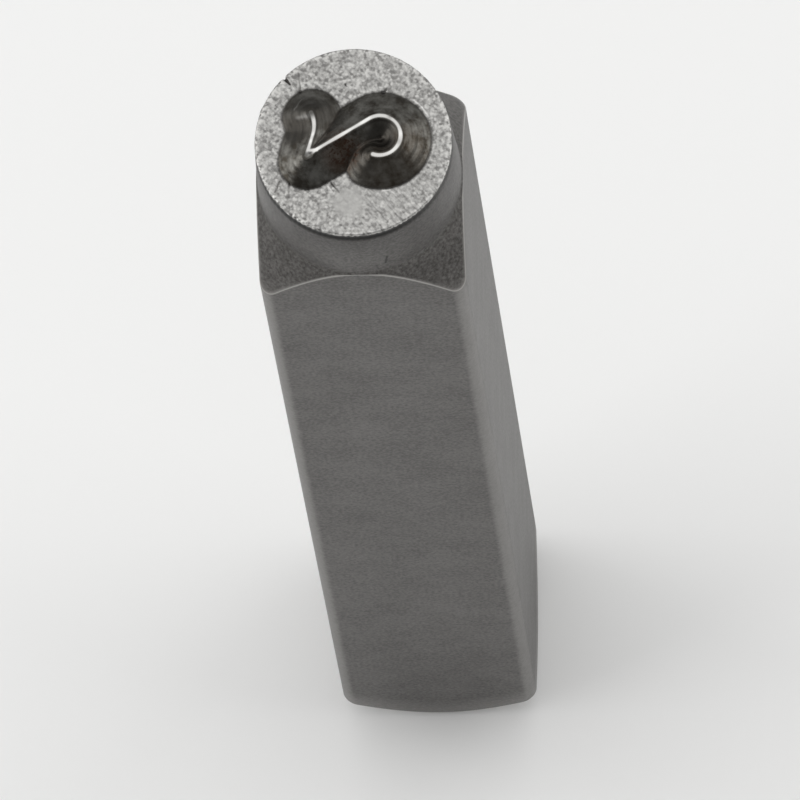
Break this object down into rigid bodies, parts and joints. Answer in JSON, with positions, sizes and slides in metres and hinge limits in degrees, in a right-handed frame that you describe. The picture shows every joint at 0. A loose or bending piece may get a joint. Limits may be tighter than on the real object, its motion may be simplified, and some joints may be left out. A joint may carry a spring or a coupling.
{
  "type": "steel number punch",
  "caption": "Square steel hand punch with a turned, flared nose whose round face carries a raised mirrored figure, and a chamfered struck end.",
  "frame": {"origin": "centre of the flat struck end, the face the punch stands on and the hammer hits", "axes": "+Z along the shank from the struck end to the figure; X and Y square to the shank's flats, with the figure's foot towards -X and its bowl towards +X"},
  "size_m": [0.008, 0.008, 0.0637],
  "materials": {
    "steel": "hardened tool steel, tumbled satin grey, with a blasted bright face and smooth milled flanks on the figure"
  },
  "bodies": {
    "root": {"number_punch": "steel"}
  },
  "joints": []
}
